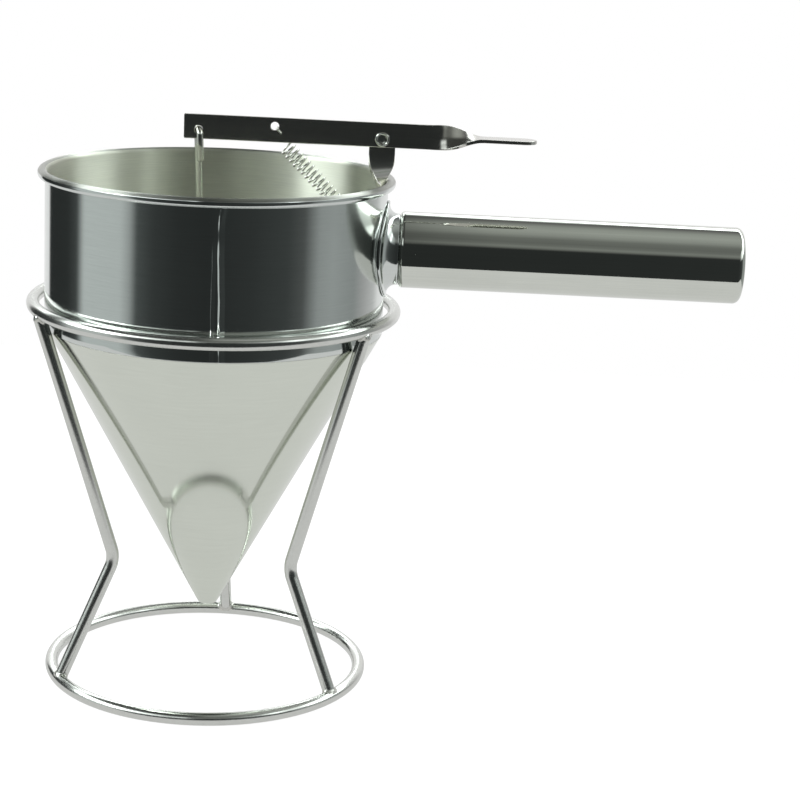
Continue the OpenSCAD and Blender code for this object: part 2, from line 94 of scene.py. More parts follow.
# Places that follow from the sizes: the funnel's shoulder rests on the inner sides of the legs
top_ring = (BAND_R + RING_GAP + WIRE_R, STAND_H - WIRE_R)
base_ring = (BASE_RING_R, WIRE_R - FOOT_FLAT)
leg_top = Vector((top_ring[0] + LEG_AIM, top_ring[1]))
leg_waist = Vector((WAIST_R, WAIST_Z))
leg_foot = Vector(base_ring)
leg_up = (leg_top - leg_waist).normalized()
leg_down = (leg_foot - leg_waist).normalized()
band_z = WAIST_Z + (BAND_R + SEAT_GAP + WIRE_R / leg_up.y - WAIST_R) * leg_up.y / leg_up.x
rim_z = band_z + BAND_H
tip_z = band_z - CONE_H
inner_r = BAND_R - SHEET
handle_z = band_z + HANDLE_H
handle_start = BAND_R + HANDLE_STANDOFF
handle_end = handle_start + HANDLE_LEN
lever_z = rim_z + LEVER_H
lever_back = -BRACKET_T / 2 - WASHER_T - 2 * PIVOT_GAP
lever_front = lever_back - LEVER_T
lever_y = (lever_front + lever_back) / 2
pivot_x, pivot_z = BAND_R - PIVOT_IN, lever_z - PIVOT_DROP
hook_at = Vector((pivot_x - HOOK_ARM, lever_z - HOOK_DROP))
spring_hole = Vector((pivot_x - SPRING_ARM, lever_z + SPRING_RISE))
anchor_hole = Vector((inner_r - ANCHOR_REACH, band_z + ANCHOR_H))


# Node helpers
class NodeTree:
    """Adds nodes to a tree, where an input is a number, a colour or another node's output."""

    def __init__(self, tree):
        self.tree = tree
        tree.nodes.clear()

    def feed(self, socket, value):
        if isinstance(value, bpy.types.NodeSocket):
            self.tree.links.new(value, socket)
        else:
            socket.default_value = value

    def add(self, kind, outputs=0, inputs=None, **settings):
        node = self.tree.nodes.new(kind)
        for name, value in settings.items():
            setattr(node, name, value)
        for name, value in (inputs or {}).items():
            self.feed(node.inputs[name], value)
        return node.outputs[outputs] if outputs is not None else node

    def math(self, operation, a, b=0.0):
        return self.add("ShaderNodeMath", inputs={0: a, 1: b}, operation=operation)

    def spread(self, value, low, high):
        """A smooth step from 0 at the low value to 1 at the high one."""
        return self.add(
            "ShaderNodeMapRange",
            inputs={"Value": value, "From Min": low, "From Max": high},
            interpolation_type="SMOOTHSTEP",
        )

    def ramp(self, value, stops):
        """A colour ramp, where each stop has its place, its level and, unless it is white, its tint."""
        low, high = stops[0][0], stops[-1][0]
        share = self.add(
            "ShaderNodeMapRange", inputs={"Value": value, "From Min": low, "From Max": high}
        )
        node = self.add("ShaderNodeValToRGB", outputs=None, inputs={"Fac": share})
        elements = node.color_ramp.elements
        while len(elements) < len(stops):
            elements.new(0.5)
        for element, (place, *colour) in zip(elements, stops):
            element.position = (place - low) / (high - low)
            element.color = grey(*colour)
        return node.outputs[0]

    def mix(self, factor, a, b):
        node = self.add("ShaderNodeMix", outputs=None, data_type="RGBA")
        for name, kind, value in (("Factor", "VALUE", factor), ("A", "RGBA", a), ("B", "RGBA", b)):
            socket = [s for s in node.inputs if s.name == name and s.type == kind][0]
            self.feed(socket, value)
        return [s for s in node.outputs if s.type == "RGBA"][0]


def grey(level, tint=(1.0, 1.0, 1.0)):
    return (level * tint[0], level * tint[1], level * tint[2], 1.0)


# World: a studio with a white back, a dark room on the near side and soft panels above the horizon
COOL = (0.94, 1.0, 0.99)
WARM = (0.95, 1.0, 0.94)
DARK = (0.9, 1.0, 0.99)
# The way that the camera looks, along the floor
LOOK_X, LOOK_Y = -0.097, 0.984
# Light round the horizon, by azimuth from the near side in degrees
HORIZON = (
    (-180, 0.9), (-143, 0.9), (-140, 0.03, DARK), (-110, 0.036, DARK), (-99, 0.07, DARK),
    (-92, 0.62, COOL), (-60, 0.6, COOL), (-53, 0.4, COOL), (-48, 0.09, DARK), (-36, 0.05, DARK),
    (-20, 0.035, DARK), (0, 0.03, DARK), (30, 0.042, DARK), (54, 0.06, DARK), (66, 0.1, COOL),
    (78, 0.36, COOL), (90, 0.4, COOL), (112, 0.33, COOL), (125, 0.45), (140, 0.6), (150, 0.9), (180, 0.9),
)
# Light overhead, by the angle up from the near side and over to the back
CEILING = (
    (0, 0.03), (25, 0.035), (33, 0.2, WARM), (37, 0.26, WARM), (42, 0.2, WARM), (50, 0.17, WARM),
    (63, 0.2, WARM), (77, 0.36, WARM), (92, 0.44, WARM), (109, 0.38, WARM), (129, 0.15), (138, 0.16),
    (148, 0.8), (160, 0.88), (180, 0.95),
)
# Elevations where the ceiling takes over, and the sideways range where its dark left part turns light
CEILING_EDGE, CEILING_SIDE, SIDE_LEVEL = (24, 32), (-0.06, 0.05), 0.06
# Share of the panels' light, by the turn of an upright mirror in which the camera sees them
PANELS = (
    (-90, 0.45), (-63, 0.3), (-57, 0.2), (-56, 0.0), (-45, 0.0), (-43.5, 0.6), (-33, 0.85), (-30, 1.0),
    (-25, 1.0), (-24, 0.36), (-20, 0.28), (-9, 0.12), (-4, 0.06), (-3, 0.14), (-0.5, 0.12), (0.5, 0.0),
    (12, 0.0), (23, 0.04), (28, 0.1), (29, 0.28), (33, 0.22), (34, 0.1), (43, 0.12), (44, 0.42),
    (54, 0.5), (62, 0.46), (63.5, 0.0), (90, 0.0),
)
# Elevations where the panels fade in and out
PANEL_FOOT, PANEL_HEAD, PANEL_LEVEL = (19, 26), (46, 39), 8.8
world = bpy.data.worlds.new("studio")
scene.world = world
world.use_nodes = True
tree = NodeTree(world.node_tree)
direction = tree.add("ShaderNodeTexCoord", outputs="Generated")
split = tree.add("ShaderNodeSeparateXYZ", outputs=None, inputs={0: direction})
toward_x, toward_y, toward_z = split.outputs
near = tree.math("MULTIPLY", toward_y, -1.0)
azimuth = tree.math("DEGREES", tree.math("ARCTAN2", toward_x, near))
elevation = tree.math("DEGREES", tree.math("ARCSINE", toward_z))
over = tree.math("DEGREES", tree.math("ARCTAN2", toward_z, near))
half_x = tree.math("SUBTRACT", toward_x, LOOK_X)
half_near = tree.math("SUBTRACT", LOOK_Y, toward_y)
facing = tree.math("DEGREES", tree.math("ARCTAN2", half_x, half_near))
horizon = tree.ramp(azimuth, HORIZON)
ceiling = tree.mix(tree.spread(toward_x, *CEILING_SIDE), grey(SIDE_LEVEL, WARM), tree.ramp(over, CEILING))
room = tree.mix(tree.spread(elevation, *CEILING_EDGE), horizon, ceiling)
above_foot = tree.spread(elevation, *PANEL_FOOT)
below_head = tree.spread(elevation, *PANEL_HEAD)
panel_band = tree.math("MULTIPLY", above_foot, below_head)
panels = tree.math("MULTIPLY", tree.ramp(facing, PANELS), panel_band)
studio = tree.mix(panels, room, grey(PANEL_LEVEL, COOL))
rays = tree.add("ShaderNodeLightPath", outputs=None)
background = tree.mix(rays.outputs["Is Camera Ray"], studio, grey(1.0))
tree.add(
    "ShaderNodeOutputWorld",
    outputs=None,
    inputs={"Surface": tree.add("ShaderNodeBackground", inputs={"Color": background, "Strength": 1.0})},
)

# Floor and lamp, in metres
FLOOR_X, FLOOR_NEAR, FLOOR_FAR = 0.55, -0.225, 0.6
PAPER_LEVEL, GLOW, SEEN_GLOW = 0.8, 0.74, 0.4
SEEN_SHARE, MIRRORED_SHARE = 0.82, 0.95
floor_mesh = bpy.data.meshes.new("floor")
floor_mesh.from_pydata(
    [
        (-FLOOR_X, FLOOR_NEAR, 0), (FLOOR_X, FLOOR_NEAR, 0),
        (FLOOR_X, FLOOR_FAR, 0), (-FLOOR_X, FLOOR_FAR, 0),
    ],
    [],
    [(0, 1, 2, 3)],
)
floor = bpy.data.objects.new("floor", floor_mesh)
scene.collection.objects.link(floor)
floor_look = bpy.data.materials.new("pale_floor")
floor_look.use_nodes = True
tree = NodeTree(floor_look.node_tree)
rays = tree.add("ShaderNodeLightPath", outputs=None)
seen = rays.outputs["Is Camera Ray"]
mirrored = tree.math("MAXIMUM", rays.outputs["Is Glossy Ray"], rays.outputs["Is Transmission Ray"])
share = tree.math(
    "ADD", tree.math("MULTIPLY", seen, SEEN_SHARE), tree.math("MULTIPLY", mirrored, MIRRORED_SHARE)
)
paper = tree.add("ShaderNodeBsdfDiffuse", inputs={"Color": grey(PAPER_LEVEL)})
glow = tree.math("ADD", tree.math("MULTIPLY", seen, SEEN_GLOW), GLOW)
white = tree.add("ShaderNodeEmission", inputs={"Color": grey(1.0), "Strength": glow})
tree.add(
    "ShaderNodeOutputMaterial",
    outputs=None,
    inputs={"Surface": tree.add("ShaderNodeMixShader", inputs={0: share, 1: paper, 2: white})},
)
floor_mesh.materials.append(floor_look)

LAMP_AT, LAMP_SIZE, LAMP_WATTS = (0.05, 0.1, 1.2), 1.4, 13.0
lamp_data = bpy.data.lights.new("soft_top", "AREA")
lamp_data.shape = "DISK"
lamp_data.size = LAMP_SIZE
lamp_data.energy = LAMP_WATTS
lamp = bpy.data.objects.new("soft_top", lamp_data)
lamp.location = LAMP_AT
lamp.visible_glossy = False
scene.collection.objects.link(lamp)

# Camera at the photograph's viewpoint
CAMERA_AT = Vector((87.16, -887.73, 350.75)) * MM
YAW, PITCH, ROLL = (math.radians(angle) for angle in (-0.399, 14.208, -2.72))
FOCAL_PX, FRAME_PX, SENSOR_MM = 2123.17, 800, 36
forward = Vector((math.sin(YAW) * math.cos(PITCH), math.cos(YAW) * math.cos(PITCH), -math.sin(PITCH)))
level = Vector((math.cos(YAW), -math.sin(YAW), 0))
down = forward.cross(level)
right = level * math.cos(ROLL) + down * math.sin(ROLL)
up = level * math.sin(ROLL) - down * math.cos(ROLL)
camera_data = bpy.data.cameras.new("camera")
camera_data.sensor_width = SENSOR_MM
camera_data.lens = SENSOR_MM * FOCAL_PX / FRAME_PX
camera = bpy.data.objects.new("camera", camera_data)
camera.matrix_world = Matrix.Translation(CAMERA_AT) @ Matrix((right, up, -forward)).transposed().to_4x4()
scene.collection.objects.link(camera)
scene.camera = camera
scene.view_settings.view_transform = "Standard"

# Materials
CLOUD_SCALE, CLOUD_SHARE = 45.0, 0.4
TONE_LOW, TONE_HIGH = 0.3, 0.7
STREAK_LOW, STREAK_HIGH = 0.25, 0.75
SPECK_SCALE, SPECK_R, SPECK_EDGE, SPECK_ROUGH = 260.0, 0.04, 0.085, 0.45
RELIEF_DEPTH = 0.00005


def metal(name, colour, roughness, grain, streak=0.03, cloud=0.04, specks=0.0, relief=0.0, brushed=None):
    """Steel with clouding, drawn or brushed streaks and pin-point specks.

    grain is the streaks' scale along X, Y and Z, and brushed is the anisotropy and its turn.
    """
    look = bpy.data.materials.new(name)
    look.use_nodes = True
    tree = NodeTree(look.node_tree)
    place = tree.add("ShaderNodeTexCoord", outputs="Object")
    stretched = tree.add("ShaderNodeMapping", inputs={"Vector": place, "Scale": grain})
    lines = tree.add(
        "ShaderNodeTexNoise",
        inputs={"Vector": stretched, "Scale": 1.0, "Detail": 4.0, "Roughness": 0.6},
    )
    clouds = tree.add(
        "ShaderNodeTexNoise",
        inputs={"Vector": place, "Scale": CLOUD_SCALE, "Detail": 3.0, "Roughness": 0.5},
    )
    tone = tree.math(
        "ADD", tree.math("MULTIPLY", lines, 1 - CLOUD_SHARE), tree.math("MULTIPLY", clouds, CLOUD_SHARE)
    )
    base = tree.mix(
        tree.spread(tone, TONE_LOW, TONE_HIGH),
        tuple(c * (1 - cloud) for c in colour) + (1.0,),
        tuple(min(1.0, c * (1 + cloud)) for c in colour) + (1.0,),
    )
    rough = tree.add(
        "ShaderNodeMapRange",
        inputs={
            "Value": lines, "From Min": STREAK_LOW, "From Max": STREAK_HIGH,
            "To Min": roughness * (1 - streak), "To Max": roughness * (1 + streak),
        },
    )
    if specks:
        cells = tree.add(
            "ShaderNodeTexVoronoi", outputs=None, inputs={"Vector": place, "Scale": SPECK_SCALE}
        )
        pick = tree.add("ShaderNodeSeparateColor", inputs={0: cells.outputs["Color"]})
        rare = tree.math("GREATER_THAN", pick, 1.0 - specks)
        dot = tree.math("MULTIPLY", tree.spread(cells.outputs["Distance"], SPECK_EDGE, SPECK_R), rare)
        rough = tree.math("ADD", rough, tree.math("MULTIPLY", dot, SPECK_ROUGH))
    inputs = {"Base Color": base, "Metallic": 1.0, "Roughness": rough}
    if relief:
        inputs["Normal"] = tree.add(
            "ShaderNodeBump", inputs={"Strength": relief, "Distance": RELIEF_DEPTH, "Height": lines}
        )
    if brushed:
        inputs["Anisotropic"], inputs["Anisotropic Rotation"] = brushed
        inputs["Tangent"] = tree.add("ShaderNodeTangent", direction_type="RADIAL", axis="Z")
    shader = tree.add("ShaderNodeBsdfPrincipled", inputs=inputs)
    tree.add("ShaderNodeOutputMaterial", outputs=None, inputs={"Surface": shader})
    return look


ACROSS_Z, ALONG_Z, ALONG_X = (60, 60, 2600), (1800, 1800, 30), (25, 1600, 1600)
WIRE_GRAIN, FINE_GRAIN, RIVET_GRAIN = (500, 500, 500), (900, 900, 900), (800, 800, 800)
SATIN = {"roughness": 0.45, "grain": ACROSS_Z, "streak": 0.1, "cloud": 0.07, "brushed": (1.0, 0.25)}
wire_look = metal("stand_wire", (0.67, 0.68, 0.65), 0.2, WIRE_GRAIN, cloud=0.03)
weld_look = metal("weld", (0.62, 0.62, 0.58), 0.34, FINE_GRAIN, streak=0.4, cloud=0.12, relief=0.2)
mirror_look = metal("polished_sheet", (0.66, 0.69, 0.67), 0.1, ACROSS_Z, streak=0.2, specks=0.02)
# The same satin twice: its steel colour is lightened with painted light inside the band and cone, and
# darkened with painted shade over the rim's roll
inside_painted_light_look = metal("satin_inside_painted_light", (0.79, 0.81, 0.71), **SATIN)
rim_painted_shade_look = metal("satin_rim_painted_shade", (0.52, 0.53, 0.49), **SATIN)
cone_look = metal("satin_sheet", (0.69, 0.72, 0.65), 0.09, ACROSS_Z, streak=0.2, cloud=0.025)
tube_look = metal("polished_tube", (0.66, 0.68, 0.63), 0.05, ALONG_X, streak=0.3, specks=0.015)
strip_look = metal("polished_strip", (0.64, 0.63, 0.59), 0.14, ALONG_X, streak=0.15, cloud=0.05)
rivet_look = metal("rivet_steel", (0.72, 0.73, 0.7), 0.12, RIVET_GRAIN, streak=0.3)
spring_look = metal("spring_wire", (0.7, 0.71, 0.66), 0.1, FINE_GRAIN, streak=0.3, cloud=0.08)
rod_look = metal("rod_steel", (0.72, 0.73, 0.67), 0.1, ALONG_Z, streak=0.3, cloud=0.05)


# Mesh helpers
def ease(t):
    return t * t * (3 - 2 * t)


def ease_within(t):
    return ease(min(1.0, max(0.0, t)))


def polar(centre, radius, degrees):
    angle = math.radians(degrees)
    return (centre[0] + radius * math.cos(angle), centre[1] + radius * math.sin(angle))


def arc(centre, radius, start, finish, steps):
    """Points on a circle, from the start angle to the finish angle in degrees."""
    return [polar(centre, radius, start + (finish - start) * i / steps) for i in range(steps + 1)]


def bend(start, corner, finish, steps=8):
    """Points on a curve from start to finish that is pulled towards the corner."""
    points = []
    for i in range(steps + 1):
        t = i / steps
        points.append(start * (1 - t) ** 2 + corner * 2 * t * (1 - t) + finish * t * t)
    return points


def even_turn(steps):
    return [2 * math.pi * i / steps for i in range(steps)]


def around(turn):
    return Matrix.Rotation(math.radians(turn), 3, "Z")


def skin(rows, wrap=False):
    """Quads over rows of points. Each row is a closed ring; wrap joins the last row to the first."""
    count = len(rows[0])
    points = [Vector(point) for row in rows for point in row]
    faces = []
    for i in range(len(rows) if wrap else len(rows) - 1):
        a, b = i * count, (i + 1) % len(rows) * count
        for j in range(count):
            k = (j + 1) % count
            faces.append((a + j, a + k, b + k, b + j))
    if not wrap:
        last = (len(rows) - 1) * count
        faces.append(tuple(range(count)))
        faces.append(tuple(range(last, last + count)))
    return points, faces


def joined(shapes):
    points, faces = [], []
    for more_points, more_faces in shapes:
        start = len(points)
        points += more_points
        faces += [tuple(start + k for k in face) for face in more_faces]
    return points, faces


def turned(profile, steps, place):
    """Rows of a shape turned round an axis, where place puts a radius, height and angle in space."""
    return [[place(r, h, angle) for angle in even_turn(steps)] for r, h in profile]


def round_z(r, h, angle):
    return (r * math.cos(angle), r * math.sin(angle), h)


def round_handle(r, h, angle):
    return (h, r * math.cos(angle), handle_z + r * math.sin(angle))


def round_pivot(r, h, angle):
    return (pivot_x + r * math.cos(angle), h, pivot_z + r * math.sin(angle))


# A direction that no path starts along, and how far round a domed end goes
SLANTING, DOME_SWEEP = Vector((0.31, 0.83, 0.46)), 88


def tube_rows(path, radius, sides, dome):
    """Rings round a path, with dome rings to round off each end."""
    path = [Vector(point) for point in path]
    last = len(path) - 1
    headings = [(path[min(i + 1, last)] - path[max(i - 1, 0)]).normalized() for i in range(last + 1)]
    side = headings[0].cross(SLANTING).normalized()
    frames = []
    for heading in headings:
        side = (side - heading * side.dot(heading)).normalized()
        frames.append((side.copy(), heading.cross(side)))

    def ring(i, r, shift):
        a, b = frames[i]
        middle = path[i] + headings[i] * shift
        return [middle + (a * math.cos(t) + b * math.sin(t)) * r for t in even_turn(sides)]

    bows = [math.radians(DOME_SWEEP * k / dome) for k in range(1, dome + 1)]
    start = [ring(0, radius * math.cos(t), -radius * math.sin(t)) for t in reversed(bows)]
    finish = [ring(last, radius * math.cos(t), radius * math.sin(t)) for t in bows]
    return start + [ring(i, radius, 0) for i in range(last + 1)] + finish


STRIP_BEVEL, BEVEL_SHARE, BEVEL_STEPS, BEVEL_MARGIN = 0.22, 0.4, 3, 0.12
CORNERS = ((1, 1, 0), (-1, 1, 90), (-1, -1, 180), (1, -1, 270))


def strip_ring(at, along_w, along_t, w, t):
    """A ring round a strip with rounded edges and a point on the flat beside each edge."""
    bevel = min(STRIP_BEVEL, BEVEL_SHARE * w, BEVEL_SHARE * t)
    outline = []
    for x_sign, y_sign, start in CORNERS:
        centre = (x_sign * (w / 2 - bevel), y_sign * (t / 2 - bevel))
        corner = arc(centre, bevel, start, start + 90, BEVEL_STEPS)
        before = polar(corner[0], BEVEL_MARGIN, start - 90)
        after = polar(corner[-1], BEVEL_MARGIN, start + 180)
        outline += [before] + corner + [after]
    return [at + along_w * a + along_t * b for a, b in outline]


def new_object(name, shape, looks=(), places=None):
    """An object from points in millimetres, with its faces turned outwards."""
    points, faces = shape
    mesh = bpy.data.meshes.new(name)
    mesh.from_pydata([tuple(point * MM) for point in points], [], faces)
    for look in looks:
        mesh.materials.append(look)
    if places:
        mesh.polygons.foreach_set("material_index", places)
    work = bmesh.new()
    work.from_mesh(mesh)
    bmesh.ops.recalc_face_normals(work, faces=work.faces)
    work.to_mesh(mesh)
    work.free()
    obj = bpy.data.objects.new(name, mesh)
    scene.collection.objects.link(obj)
    return obj


def piece(name, shape, nodes, looks, body=None, places=None, cutters=(), sharp=38):
    """Makes a piece that stands for CAD nodes and rides on their body."""
    obj = new_object(name, shape, looks, places)
    tools = [new_object("cutter", tool) for tool in cutters]
    for tool in tools:
        cut = obj.modifiers.new("cut", "BOOLEAN")
        cut.object = tool
        cut.operation = "DIFFERENCE"
        cut.solver = "EXACT"
    if tools:
        uncut = obj.data
        whole = obj.evaluated_get(bpy.context.evaluated_depsgraph_get())
        obj.data = bpy.data.meshes.new_from_object(whole)
        obj.data.name = name
        obj.modifiers.clear()
        bpy.data.meshes.remove(uncut)
    for tool in tools:
        bpy.data.meshes.remove(tool.data)
    obj.data.shade_smooth()
    obj.data.set_sharp_from_angle(angle=math.radians(sharp))
    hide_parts(*nodes)
    if body:
        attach(obj, body)
    return obj


# Stand: two rings and three legs with a waist bend
RING_STEPS, RING_SIDES = 300, 32


def wire_ring(radius, height):
    """A wire ring that is flat where it would go below the floor."""
    profile = arc((radius, height), WIRE_R, 0, 360 - 360 / RING_SIDES, RING_SIDES - 1)
    return skin(turned([(r, max(h, 0.0)) for r, h in profile], RING_STEPS, round_z), wrap=True)


piece("base_ring", wire_ring(*base_ring), ["stand_base_ring"], [wire_look], "stand")
piece("top_ring", wire_ring(*top_ring), ["stand_top_ring"], [wire_look], "stand")

TOP_END, FOOT_END, SUPPORT_GAP = 2.4, 1.2, 1.5
WAIST_STEPS, LEG_SIDES, LEG_DOME = 24, 28, 5
half_angle = math.acos(leg_up.dot(leg_down)) / 2
bend_start = WAIST_BEND_R / math.tan(half_angle)
bend_centre = leg_waist + (leg_up + leg_down).normalized() * WAIST_BEND_R / math.sin(half_angle)
upper_side = leg_waist + leg_up * bend_start - bend_centre
lower_side = leg_waist + leg_down * bend_start - bend_centre
bend_from = math.degrees(math.atan2(upper_side.y, upper_side.x))
bend_to = math.degrees(math.atan2(lower_side.y, lower_side.x)) + 360
leg_path = [leg_top - leg_up * TOP_END]
leg_path += [Vector(point) for point in arc(bend_centre, WAIST_BEND_R, bend_from, bend_to, WAIST_STEPS)]
leg_path.append(leg_foot - leg_down * FOOT_END)


def with_supports(path, gap):
    """Adds a point close to each end of a straight stretch, so that the bend's shading stays there."""
    points = [path[0]]
    for a, b in zip(path, path[1:]):
        if (b - a).length > 4 * gap:
            step = (b - a).normalized() * gap
            points += [a + step, b - step]
        points.append(b)
    return points


leg_line = with_supports(leg_path, SUPPORT_GAP)
for place, turn in LEG_TURNS.items():
    spun = around(turn)
    rows = tube_rows([spun @ Vector((p.x, 0, p.y)) for p in leg_line], WIRE_R, LEG_SIDES, LEG_DOME)
    piece(f"leg_{place}", skin(rows), [f"stand_leg_{place}"], [wire_look], "stand")

# Welds: rippled fillets between the legs and the rings
WELD_FAR, WELD_NEAR, WELD_SEARCH = 9.0, 1.4, 0.02
WELD_LEG, WELD_SWAY, WELD_SHAKE, WELD_RIPPLE = 1.25, 0.16, 0.1, 0.035
WELD_OUT, WELD_DOWN = 0.9, 0.3
WELD_SKIN, WELD_WAIST = 0.03, 0.22
ROOT_IN, ROOT_DOWN = 0.7, 0.4
WELD_SIDES, WELD_STEPS = 48, 8
SWAY_WAVES, SHAKE_WAVES, RIPPLE_WAVES, RIPPLE_SLANT = 3, 7, 11, 9


def off_ring(point, ring):
    """The way to a point from the middle line of a ring's wire, and where on that line it starts."""
    ring_r, ring_z = ring
    flat = math.hypot(point.x, point.y)
    nearest = Vector((point.x / flat * ring_r, point.y / flat * ring_r, ring_z))
    return point - nearest, nearest


def weld(at, heading, ring, turn):
    """A fillet round the end of a leg, from the leg's side down to the ring's wire."""
    start = Vector((at.x, 0, at.y))
    away = Vector((-heading.x, 0, -heading.y))
    across = Vector((0, 1, 0))
    other = away.cross(across)
    spun = around(turn)
    rows = []
    for angle in even_turn(WELD_SIDES):
        out = across * math.cos(angle) + other * math.sin(angle)
        reach = WELD_FAR
        while reach > WELD_NEAR and off_ring(start + away * reach + out * WIRE_R, ring)[0].length > WIRE_R:
            reach -= WELD_SEARCH
        foot = start + away * reach + out * WIRE_R
        leg = WELD_LEG + WELD_SWAY * math.sin(SWAY_WAVES * angle + turn)
        leg += WELD_SHAKE * math.sin(SHAKE_WAVES * angle + 2 * turn)
        top = start + away * (reach + leg) + out * (WIRE_R + WELD_SKIN)
        gap, nearest = off_ring(foot + out * leg * WELD_OUT - away * leg * WELD_DOWN, ring)
        low = nearest + gap.normalized() * (WIRE_R + WELD_SKIN)
        waist = foot + out * WELD_WAIST + away * WELD_WAIST
        curve = []
        for i, point in enumerate(bend(top, waist, low, WELD_STEPS)):
            t = i / WELD_STEPS
            swell = WELD_RIPPLE * math.sin(math.pi * t)
            ripple = swell * math.sin(RIPPLE_WAVES * angle + RIPPLE_SLANT * t)
            curve.append(spun @ (point + (out + away) * ripple))
        curve.append(spun @ (foot - out * ROOT_IN - away * ROOT_DOWN))
        rows.append(curve)
    return skin(rows, wrap=True)


piece(
    "base_welds",
    joined([weld(leg_foot, leg_down, base_ring, turn) for turn in LEG_TURNS.values()]),
    ["stand_base_welds"], [weld_look], "stand", sharp=60,
)
piece(
    "top_welds",
    joined([weld(leg_top, leg_up, top_ring, turn) for turn in LEG_TURNS.values()]),
    ["stand_top_welds"], [weld_look], "stand", sharp=60,
)

# Band: satin inside, lightened with painted light, a roll over the rim in the same satin darkened with
# painted shade, and a mirror outside with an upright weld seam
# Rings of the inside wall, by the height over its foot and the depth below the bead's middle
INSIDE_RISES, INSIDE_DEPTHS = (0.3, 1.5), (3.375, 1.775)
ROLL_STOP, ROLL_INNER_STOP = -122, 168
ROLL_STEPS, ROLL_INNER_STEPS, OUTSIDE_STEPS = 44, 30, 26
OUTSIDE_DROP, BAND_EDGE, BAND_EDGE_MID, INNER_EDGE = 0.5, 0.35, 0.1, 0.2
bead_at = (BAND_R + RIM_OVERHANG - BEAD_R, rim_z - BEAD_R)
inside_wall = [(inner_r, band_z + rise) for rise in INSIDE_RISES]
inside_wall += [(inner_r, bead_at[1] - depth) for depth in INSIDE_DEPTHS]
rim_roll = arc(bead_at, BEAD_R, 180, ROLL_STOP, ROLL_STEPS)
rim_inside = arc(bead_at, BEAD_R - SHEET, ROLL_STOP, ROLL_INNER_STOP, ROLL_INNER_STEPS)
outside_top = bead_at[1] - OUTSIDE_DROP
outside_run = band_z + BAND_EDGE - outside_top
outside_wall = [(BAND_R, outside_top + outside_run * i / OUTSIDE_STEPS) for i in range(OUTSIDE_STEPS + 1)]
lower_edge = [
    (BAND_R - BAND_EDGE_MID, band_z + BAND_EDGE_MID), (BAND_R - BAND_EDGE, band_z),
    (inner_r + INNER_EDGE, band_z),
]
band_profile = inside_wall + rim_roll + rim_inside + outside_wall + lower_edge

# Each ridge of the seam has its crest's azimuth, rise, width of the steep side, slant and depth of its top
SEAM_RIDGES = ((7.5, 0.62, 0.7, -0.0243, 1.975), (4.6, 0.22, 0.45, 0.0, 18.375))
SEAM_EASY, SEAM_FADE = 3.0, 0.8
# The seam sways, hooks over near its top, dips below that and is low at its foot. Depths are below the rim
SEAM_SWAY, SEAM_SWAY_RATE, SEAM_SHAKE, SEAM_SHAKE_RATE = 0.1, 0.21, 0.06, 0.53
SEAM_HOOK, SEAM_HOOK_DEPTH, SEAM_HOOK_LEN = 0.8, 11.875, 6.3
SEAM_DIP, SEAM_DIP_DEPTH, SEAM_DIP_LEN = 0.5, 14.875, 4.2
SEAM_FOOT, SEAM_FOOT_GAP, SEAM_FOOT_LEN = 0.55, 2.0, 6.0
SEAM_START, SEAM_STEP, SEAM_STEPS, PLAIN_STEPS = 3.2, 0.08, 90, 300


def seam_height(azimuth, height):
    """How far the weld seam stands out of the band: two ridges, each steep on its left."""
    depth = rim_z - height
    hook = SEAM_HOOK * max(0.0, (SEAM_HOOK_DEPTH - depth) / SEAM_HOOK_LEN) ** 2
    dip = 1.0 - SEAM_DIP * math.exp(-(((depth - SEAM_DIP_DEPTH) / SEAM_DIP_LEN) ** 4))
    foot_rise = ease_within((height - band_z - SEAM_FOOT_GAP) / SEAM_FOOT_LEN)
    foot = SEAM_FOOT + (1 - SEAM_FOOT) * foot_rise
    total = 0.0
    for crest, tall, steep, slant, top_depth in SEAM_RIDGES:
        wave = SEAM_SWAY * math.sin(height * SEAM_SWAY_RATE + crest)
        wave += SEAM_SHAKE * math.sin(height * SEAM_SHAKE_RATE)
        wave += slant * (height - band_z) + hook
        away = math.radians(azimuth - crest) * BAND_R - wave
        side = 1 - away / (SEAM_EASY * steep) if away > 0 else 1 + away / steep
        total += tall * dip * foot * ease_within((depth - top_depth) / SEAM_FADE) * max(0.0, side)
    return total


seam_width = SEAM_STEP * SEAM_STEPS
seam_azimuths = [SEAM_START + SEAM_STEP * i for i in range(SEAM_STEPS + 1)]
plain_width = 360 - seam_width
plain_start = SEAM_START + seam_width
plain_azimuths = [plain_start + plain_width * i / PLAIN_STEPS for i in range(1, PLAIN_STEPS)]
band_azimuths = seam_azimuths + plain_azimuths
first_outside = len(inside_wall) + len(rim_roll) + len(rim_inside)
last_row = len(band_profile) - 1
band_rows = []
for index, (r, h) in enumerate(band_profile):
    row = []
    for azimuth in band_azimuths:
        lift = seam_height(azimuth, h) if first_outside <= index < last_row else 0.0
        row.append(round_z(r + lift, h, math.radians(azimuth - 90)))
    band_rows.append(row)

# Places in a piece's list of looks, and the rings of the roll where its part darkened with painted shade
# starts and stops
OUTSIDE, INSIDE, ROLLED = 0, 1, 2
SHADED_START, SHADED_STOP = 7, 23
band_places = []
for index in range(len(band_profile)):
    if index < len(inside_wall) + SHADED_START or index == last_row:
        place = INSIDE
    elif index < len(inside_wall) + SHADED_STOP:
        place = ROLLED
    else:
        place = OUTSIDE
    band_places += [place] * len(band_azimuths)
piece(
    "band", skin(band_rows, wrap=True), ["funnel_band"],
    [mirror_look, inside_painted_light_look, rim_painted_shade_look], "funnel", band_places,
)

# Cone: half bright outside, satin inside
CONE_STEPS, CONE_MIDDLE_R = 300, 60.0
